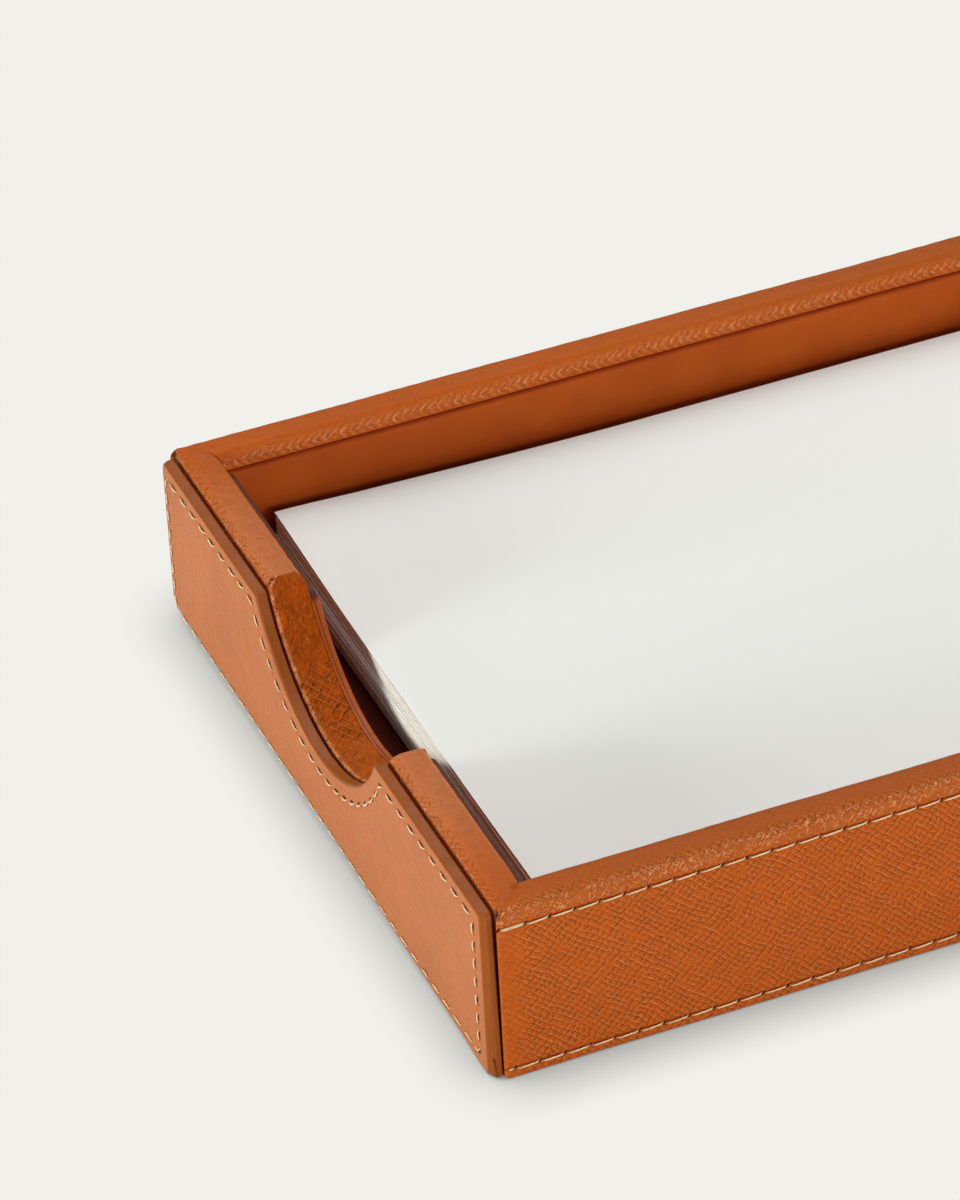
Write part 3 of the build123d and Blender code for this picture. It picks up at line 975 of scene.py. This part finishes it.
def plate_mesh(outline, rings, inner_step):
    """A flat mesh inside an outline: rings of points near its edge and an even field inside. Gives the
    points, the faces, each point's distance from the outline and how many points lie on it."""
    edge, _ = even_steps(outline, edge_step)
    search = nearest_on(even_steps(outline, 0.05)[0])
    points = [edge]
    for inset in rings:
        ring = edge - inset * out_of(edge)
        points.append(ring[search(ring)[1] > inset - 0.03])
    low, high = outline.min(0), outline.max(0)
    rows = np.arange(low[1], high[1], inner_step * 0.87)
    field = np.array([(x + (k % 2) * inner_step / 2, y) for k, y in enumerate(rows)
                      for x in np.arange(low[0], high[0], inner_step)])
    points.append(field[search(field)[1] > rings[-1] + 0.6 * inner_step])
    every = [Vector(p) for p in np.concatenate(points)]
    made = delaunay_2d_cdt(every, [], [list(range(len(edge)))], 1, 1e-5)
    flat = np.array([tuple(p) for p in made[0]])
    return flat, [list(f) for f in made[2]], search(flat)[1], len(edge)


def plate(name, outline, near, far_side, depth_at, materials, body, node, rings, field, seam_at=None,
          spread=np.array):
    """A closed plate across X. Its worked face lies at near and its plain one at far_side; depth_at gives
    how far the worked face lies in from near, for points and their distance from the outline, and
    seam_at their seam attribute. spread widens the outline of the plain face."""
    flat, faces, away, count = plate_mesh(outline, rings, field)
    depth = np.minimum(depth_at(flat, away), abs(far_side - near) - 0.1)
    worked = np.column_stack([near + np.sign(far_side - near) * depth, flat])
    plain = np.column_stack([np.full(count, far_side), spread(flat[:count])])
    rim = np.arange(count)
    behind = rim + len(flat)
    rest = band(rim, behind) + [behind[::-1].tolist()]
    second = [away[face].min() < 0.6 * panel_edge_radius for face in faces] + [True] * len(rest)
    values = pad({"seam": seam_at(flat)}, count) if seam_at else None
    build(name, (np.concatenate([worked, plain]), faces + rest), materials, body, [node], values, second,
          welded=True)


def stitch_line():
    """The drawer front's stitch line, a little off centre, with its normals and the place of each point
    in stitches. The stitches are longer on the level runs than on the upright ones."""
    half, foot, below_top, beside_notch = 58.6, 2.3, 2.2, 2.75
    line = notched_outline(half, foot, face_high[2] - below_top, (1.0, 1.6), 1.2, 1.0, notch_radius + beside_notch)
    line[:, 0] += 0.8 * rise(np.abs(line[:, 0]), 28, 40)
    line, length = even_steps(line, 0.05)
    out = out_of(line)
    in_notch = (np.abs(line[:, 0]) < notch_radius) & (line[:, 1] > 6)
    pitch = np.where(in_notch, 3.3, 3.9 - 0.8 * out[:, 0] ** 2)
    count = np.cumsum(length / len(line) / pitch)
    return line, out, count * round(count[-1]) / count[-1]


seam_line, seam_out, seam_count = stitch_line()


def from_seam(flat):
    """Nearest point of the drawer front's stitch line, and the distance outwards from it."""
    found, _ = nearest_on(seam_line)(flat)
    return found, ((flat - seam_line[found]) * seam_out[found]).sum(1)


def panel_seam(flat):
    """Seam attribute of the drawer front."""
    found, across = from_seam(flat)
    return seam_values(seam_count[found], across)


def panel_depth(flat, away):
    """How far the drawer front's face lies in: rounded to its edge, more so at its foot, drawn in along
    the seam and swelling beside it."""
    _, across = from_seam(flat)
    foot = 1 - rise(flat[:, 1], 2.5, 4.0)
    near_corner = rise(-flat[:, 0], 48, 56)
    depth = rounded(away, panel_edge_radius) + foot * (1 - near_corner) * rounded(away, 0.9)
    depth += groove_depth * bell(across, 0.36) * (1 - 0.5 * foot)
    depth -= 0.06 * bell(across - 1.1, 0.6) + 0.05 * bell(across + 1.2, 0.8)
    return depth + 0.05 * ripples(flat[:, 0], flat[:, 1], 30, 41) * rise(away, 0.5, 4)


def plain_depth(flat, away):
    """How far a plain face lies in: only its edge is rounded."""
    return rounded(away, panel_edge_radius)


def widened(line):
    """The drawer front's outline at its back: a little wider, most of all at the near foot."""
    ends = rise(np.abs(line[:, 0]), *panel_end)
    near_foot = rise(-line[:, 0], *panel_end) * (1 - rise(line[:, 1], 0.0, 4.5))
    return line + np.stack([0.4 * ends * np.sign(line[:, 0]) - 0.8 * near_foot, 0 * ends], 1)


panel_outline = notched_outline(face_high[1], face_low[2], face_high[2], (1.0, 3.0), panel_top_corner,
                                panel_mouth_corner)
panel_outline[:, 1] -= 1.45 * rise(-panel_outline[:, 0], *panel_end) * (1 - rise(panel_outline[:, 1], 3, 9))
edge_rings = (0.04, 0.12, 0.22, 0.33, 0.45)
seam_rings = tuple(np.arange(0.65, 3.7, 0.2))
plate("drawer_front_face", panel_outline, face_low[0], face_high[0], panel_depth, [panel_face, panel_edge],
      "drawer", "drawer_front_leather", edge_rings + seam_rings, 1.0, panel_seam, widened)
plate("drawer_front_back", widened(panel_outline), backing_high[0], backing_low[0], plain_depth,
      [lining, panel_edge], "drawer", "drawer_front_backing", edge_rings, 3.0)

liner_outline = notched_outline(liner_face, liner_low[2], liner_top, (0, 0), 0, liner_mouth_corner)
plate("left_liner_skin", liner_outline, left_liner_high[0], left_liner_low[0], plain_depth, [lining, liner_edge],
      "case", "left_liner_leather", edge_rings, 2.0)


# ---- straight liners
def liner_skin(name, place, seed):
    """Smooth leather over a liner board: up its face and over its top to the wall."""
    thick = side - wall - liner_face
    roll = 0.45
    profile = chain(np.linspace((0, tray_board_top), (0, liner_top - roll), 15),
                    arc((roll, liner_top - roll), roll, 180, 90, 7),
                    np.linspace((roll, liner_top), (thick, liner_top), 5))
    normals = normals_of(profile)
    along = np.linspace(0, place.length, round(place.length / 1.2)) + 0 * profile[:, :1]
    around = length_along(profile)[:, None]
    lift = 0.05 * ripples(along, around, 26, seed) + 0.012 * ripples(along, around, 5, seed + 1)
    lift *= held(around, 1, 0.5)
    outer = place.points(along, profile[:, :1] + normals[:, :1] * lift, profile[:, 1:] + normals[:, 1:] * lift)
    start = 0 * profile[:, 0]
    inner = under_skin(place, profile, start, start + place.length, liner_skin_depth, thick, tray_board_top, liner_top)
    # painted shade where the liner's top meets the wall
    dark = 0.5 * rise(profile[:, :1], 0, 0.35) + 0.45 * rise(profile[:, :1], 0.6, 1.25)
    build(f"{name}_liner_skin", shell(outer, inner), [lining], "case", [f"{name}_liner_leather"],
          pad({"shade": (dark + 0 * along).ravel()}, 2 * len(profile)), welded=True)


liner_left, long_liner = liner_low[0], liner_high[0] - liner_low[0]
liner_right = span("right_liner_leather")[0][0]
liner_skin("front", Wall((liner_left, -liner_face), (1, 0), (0, -1), long_liner), 51)
liner_skin("back", Wall((liner_left, liner_face), (1, 0), (0, 1), long_liner), 53)
liner_skin("right", Wall((liner_right, -liner_face), (0, 1), (1, 0), 2 * liner_face), 55)


# ---- thread
def thread_tube(centres, sideways, outward, radii, start_twist):
    """A twisted thread through the centres: its points and faces, and its attributes."""
    count, around = len(centres), 8
    turn = np.linspace(0, 2 * math.pi, around, endpoint=False)
    along = np.linspace(0, 1, count)
    ring = np.cos(turn)[:, None] * sideways[:, None] + 0.85 * np.sin(turn)[:, None] * outward[:, None]
    points = centres[:, None] + radii[:, None, None] * ring
    index = numbered(count, around)
    faces = quads(np.column_stack([index, index[:, 0]])) + [index[0, ::-1].tolist(), index[-1].tolist()]
    twist = (start_twist + 22 * along)[:, None] + 2 * turn
    ends = np.clip(1 - 6 * np.minimum(along, 1 - along), 0, 1)[:, None] + 0 * twist
    return (points.reshape(-1, 3), faces), {"twist": twist.ravel(), "ends": ends.ravel()}


def row_stitch(s, rng):
    """A stitch of the straight rows, as place along the row in stitches, distance up and height over the
    leather, and the thread's radius: it comes out low beside its first hole, leans up and hooks into
    the next."""
    tilt = rng.uniform(0.85, 1.15)
    along = 0.18 + rng.uniform(-0.08, 0.10) + (rim_pitch - 0.26) * s
    up = tilt * (-0.17 + 0.24 * s + 0.17 * rise(s, 0.84, 1.0)) + rng.uniform(-0.03, 0.03)
    height = -0.26 + 0.30 * rise(s, 0, 0.10) + 0.05 * np.sin(np.pi * s) - 0.36 * rise(s, 0.91, 1)
    return along / rim_pitch, up, height, thread_radius * (0.85 + 0.2 * rise(s, 0.0, 0.5)) * rng.uniform(0.92, 1.08)


def first_stitch(s, rng):
    """The thin doubled thread that fastens the row at its left end."""
    along = -3.55 / rim_pitch * (1 - s) - 0.03
    height = -0.16 + 0.22 * rise(s, 0, 0.15) - 0.2 * rise(s, 0.9, 1)
    return along, rng.uniform(-0.16, 0.12) + 0.14 * s, height, 0.10 + 0 * s


def panel_stitch(s, rng):
    """A stitch of the drawer front: short, and bowed away from its slit."""
    along = -0.15 + rng.uniform(-0.10, 0.06) + (2.6 + rng.uniform(-0.15, 0.3)) * s
    outwards = 0.10 - 0.30 * np.sin(np.pi * s) + rng.uniform(-0.03, 0.03)
    height = -0.24 + 0.30 * rise(s, 0, 0.14) + 0.05 * np.sin(np.pi * s) - 0.30 * rise(s, 0.86, 1)
    thickness = panel_thread_radius * (0.75 + 0.3 * np.sin(np.pi * s))
    return along / rim_pitch, outwards, height, thickness * rng.uniform(0.93, 1.07)


def stitches(name, body, counts, place, shapes, seed):
    """Stitches at whole places along a row. place turns places in stitches, distances across and heights
    over the leather into points of the part's frame and two directions across the thread."""
    rng = np.random.default_rng(seed)
    meshes, values = [], []
    for count, shape in zip(counts, shapes):
        along, across, height, radii = shape(np.linspace(0, 1, 15), rng)
        mesh, value = thread_tube(*place(count + along, across, height), radii, rng.uniform(0, 6))
        meshes.append(mesh)
        values.append(value)
    build(f"{name}_thread", joined(meshes), [thread], body, [f"{name}_stitches"], gathered(values))


def row_place(wall_place, first, pitch, height):
    """Places stitches in a straight row on a wall."""
    out = np.append(-wall_place.inward, 0)

    def place(count, across, lift):
        points = wall_place.points(np.maximum(first + pitch * count, 0.3), -lift, height + across)
        return points, np.tile((0, 0, 1.0), (len(count), 1)), np.tile(out, (len(count), 1))
    return place


def straight_rows(wall_name, wall_place, seed):
    """Both rows of a wall."""
    rows = (("rim", rim_row, rim_first_hole, rim_pitch), ("foot", foot_row, foot_first_hole, foot_pitch))
    for row_name, height, first, pitch in rows:
        whole = int((wall_place.length - 1.5 - first) / pitch)
        stitches(f"{wall_name}_{row_name}", "case", [0, 0, *range(whole)],
                 row_place(wall_place, first, pitch, height), [first_stitch] * 2 + [row_stitch] * whole,
                 seed + len(row_name))


straight_rows("front", front, 61)
straight_rows("back", back, 71)
straight_rows("right", right, 81)


def panel_place(count, across, lift):
    """Places stitches along the drawer front's seam, across counted outwards."""
    line, out = (np.concatenate([a[-1:], a]) for a in (seam_line, seam_out))
    places = np.concatenate([[0], seam_count])
    at, aside = (np.stack([np.interp(count % panel_stitches, places, a[:, i]) for i in (0, 1)], 1)
                 for a in (line, out))
    points = np.column_stack([face_low[0] - lift, at + across[:, None] * aside])
    return points, np.column_stack([0 * lift, aside]), np.tile((-1.0, 0, 0), (len(count), 1))


panel_stitches = round(seam_count[-1])
stitches("drawer_front", "drawer", range(panel_stitches), panel_place, [panel_stitch] * panel_stitches, 91)


# ---- sheets
def paper_slab(low, high, across_x, across_y, top_shape, thickness):
    """A thin closed sheet between two corners; top_shape gives its height. Also says which faces are its
    cut edges."""
    x, y = np.meshgrid(np.linspace(low[0], high[0], across_x), np.linspace(low[1], high[1], across_y),
                       indexing="ij")
    upper = np.stack([x, y, top_shape(x, y)], -1).reshape(-1, 3)
    index = numbered(across_x, across_y)
    ring = np.concatenate([index[:-1, 0], index[-1, :-1], index[:0:-1, -1], index[0, :0:-1]])
    wide = [face[::-1] for face in quads(index)] + quads(index + len(upper))
    edge = band(ring, ring + len(upper))
    points = np.concatenate([upper, upper - (0, 0, thickness)])
    return (points, wide + edge), [False] * len(wide) + [True] * len(edge)


def sheet_shape(x, y):
    """Height of the top sheet over the flat stack: a slow bow and a lifted far left corner."""
    u = (x - sheet_low[0]) / (sheet_high[0] - sheet_low[0])
    v = (y - sheet_low[1]) / (sheet_high[1] - sheet_low[1])
    corner = rise(v, 0.55, 1.0) * (1 - rise(u, 0.0, 0.42))
    return 1.15 * corner**1.4 + 0.10 * np.sin(np.pi * u) * np.sin(np.pi * v)


def loose_sheets():
    """The stack: thin sheets, each a little off from the next and turned a little. The upper ones follow
    the top sheet's shape more and more."""
    rng = np.random.default_rng(7)
    count = sheet_count
    thickness = (stack_high[2] - stack_low[2]) / count
    slide = np.cumsum(rng.normal(0, 0.10, (count, 2)), 0)
    slide -= slide.mean(0)
    loose = rng.normal(0, 0.12, (count, 2))
    pushed = (rng.random((count, 1)) < 0.2) * rng.uniform(-0.6, 0.1, (count, 1)) * (1, 0)
    slide += loose + pushed
    slide = np.clip(slide, (-0.35, -0.12), (0.25, 0.12))
    slide[-12:, 0] = np.abs(slide[-12:, 0]) * 0.4
    angle = rng.normal(0, 0.0015, count)
    meshes, second = [], []
    for k in range(count):
        def shape(x, y):
            return stack_low[2] + (k + 1) * thickness + (k / count) ** 5 * sheet_shape(x, y)
        (points, faces), cut = paper_slab(stack_low, stack_high, 10, 8, shape, 0.9 * thickness)
        points[:, :2] += slide[k] + angle[k] * points[:, 1::-1] * (-1, 1)
        meshes.append((points, faces))
        second += cut
    build("loose_sheets", joined(meshes), paper, "memo_stack", ["memo_sheets"], second=second, sharp=30)


def top_sheet():
    """The sheet on top, bare, its left edge a little up."""
    def shape(x, y):
        edge = 1 - rise(x - sheet_low[0], 0, 14)
        return sheet_high[2] + sheet_shape(x, y) + 0.35 * edge * (0.7 + 0.3 * np.sin(0.11 * y + 1.0))
    mesh, cut = paper_slab(sheet_low, sheet_high, 90, 54, shape, 0.16)
    build("top_sheet_paper", mesh, paper, "memo_stack", ["top_sheet"], second=cut, sharp=30)


loose_sheets()
top_sheet()


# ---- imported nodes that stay
slot_materials = {"smooth_leather": lining, "wood_board": board, "liner_card": card, "glide_tape": tape}
for part in frame["record"]["subparts"]:
    carried = frame["nodes"][part["node"]]
    if carried.hide_render:
        continue
    if part["material_slot"] == "suede":
        finish = drawer_suede if part["node"].startswith("drawer") else cover_suede
    else:
        finish = slot_materials[part["material_slot"]]
    carried.data.materials.clear()
    carried.data.materials.append(finish)
    soften = carried.modifiers.new("soft_edges", "BEVEL")
    soften.width = 0.12 * MM
    soften.segments = 2
    soften.limit_method = "ANGLE"


# ---- floor, world and lamps
pale = (0.88, 0.871, 0.823, 1)
floor_reach = 3000.0
floor_gap = 0.02
contact_reach = 10.7         # how far from the part its contact shadow reaches


def stage_floor():
    """A wide pale floor. Seen directly it has the backdrop's colour and a soft contact shadow; to the
    part it is a matt white surface."""
    shade = Shade("floor", Base_Color=(0.75, 0.745, 0.72, 1), Roughness=1.0, Specular_IOR_Level=0.0)
    path = shade.node("LightPath").outputs()
    seen = path["Is Camera Ray"].op("MAXIMUM", path["Is Glossy Ray"])
    seen = seen.op("MAXIMUM", path["Is Transmission Ray"])
    lean = shade.node("CombineXYZ", {"X": -0.32, "Z": 1.0})
    open_sky = shade.node("AmbientOcclusion", {"Distance": contact_reach * MM, "Normal": lean}, "AO", samples=24)
    glow = shade.node("Emission", {"Color": shade.blend(open_sky, (0, 0, 0, 1), pale)})
    both = shade.node("MixShader", {0: seen, 1: Field(shade, shade.surface.outputs[0]), 2: glow})
    shade.tree.links.new(both.socket, shade.tree.nodes["Material Output"].inputs["Surface"])
    mesh = bpy.data.meshes.new("floor")
    r, low = floor_reach * MM, -floor_gap * MM
    mesh.from_pydata([(-r, -r, low), (r, -r, low), (r, r, low), (-r, r, low)], [], [(0, 1, 2, 3)])
    mesh.materials.append(shade.material)
    floor = bpy.data.objects.new("floor", mesh)
    bpy.context.scene.collection.objects.link(floor)


def stage_world():
    """An even pale surround."""
    world = bpy.data.worlds.new("surround")
    world.use_nodes = True
    bpy.context.scene.world = world
    nodes, links = world.node_tree.nodes, world.node_tree.links
    background = nodes["Background"]
    background.inputs["Color"].default_value = (1.0, 1.0, 0.985, 1)
    background.inputs["Strength"].default_value = 0.18
    seen = nodes.new("ShaderNodeBackground")
    seen.inputs["Color"].default_value = pale
    path = nodes.new("ShaderNodeLightPath")
    mix = nodes.new("ShaderNodeMixShader")
    links.new(path.outputs["Is Camera Ray"], mix.inputs[0])
    links.new(background.outputs[0], mix.inputs[1])
    links.new(seen.outputs[0], mix.inputs[2])
    links.new(mix.outputs[0], nodes["World Output"].inputs["Surface"])


def lamp(name, azimuth, elevation, share, spread):
    """A distant soft lamp. share is how much of a white surface's brightness it gives, spread its width
    in degrees; azimuth 0 is in front of the part (-Y) and 90 at its right."""
    light = bpy.data.lights.new(name, "SUN")
    light.energy = math.pi * share
    light.angle = math.radians(spread)
    a, e = math.radians(azimuth), math.radians(elevation)
    towards = Vector((math.sin(a) * math.cos(e), -math.cos(a) * math.cos(e), math.sin(e)))
    made = bpy.data.objects.new(name, light)
    made.rotation_euler = towards.to_track_quat("Z", "Y").to_euler()
    bpy.context.scene.collection.objects.link(made)


stage_floor()
stage_world()
lamp("overhead", 145, 58, 0.66, 55)
lamp("left_key", -84, 7, 1.10, 26)
lamp("front_fill", 12, 10, 0.56, 32)
lamp("right_fill", 100, 24, 0.15, 50)


# ---- camera
photo_width, photo_height = 960, 1200
focal_pixels = 7402.5
yaw, pitch, roll = (math.radians(a) for a in (20.738, 35.405, 3.371))
near_foot = Vector((face_low[0], -side, 0))   # foot of the near left corner
near_foot_pixel = (493.13, 1084.48)
near_foot_distance = 1009.6


def stage_camera():
    """The photograph's camera: turned, tilted and rolled, with the near foot at its pixel."""
    across = Vector((math.cos(yaw), -math.sin(yaw), 0))
    up = Vector((math.sin(yaw) * math.sin(pitch), math.cos(yaw) * math.sin(pitch), math.cos(pitch)))
    back = Vector((-math.sin(yaw) * math.cos(pitch), -math.cos(yaw) * math.cos(pitch), math.sin(pitch)))
    c, s = math.cos(roll), math.sin(roll)
    across, up = c * across - s * up, s * across + c * up
    x = (near_foot_pixel[0] - photo_width / 2) / focal_pixels * near_foot_distance
    y = (photo_height / 2 - near_foot_pixel[1]) / focal_pixels * near_foot_distance
    spot = near_foot - x * across - y * up + near_foot_distance * back
    data = bpy.data.cameras.new("camera")
    data.sensor_width = 36
    data.lens = focal_pixels / photo_height * data.sensor_width
    data.clip_end = 100
    camera = bpy.data.objects.new("camera", data)
    turn = Matrix((across, up, back)).transposed().to_4x4()
    camera.matrix_world = Matrix.Translation(spot * MM) @ turn
    bpy.context.scene.collection.objects.link(camera)
    bpy.context.scene.camera = camera


stage_camera()
bpy.context.scene.view_settings.view_transform = "Standard"
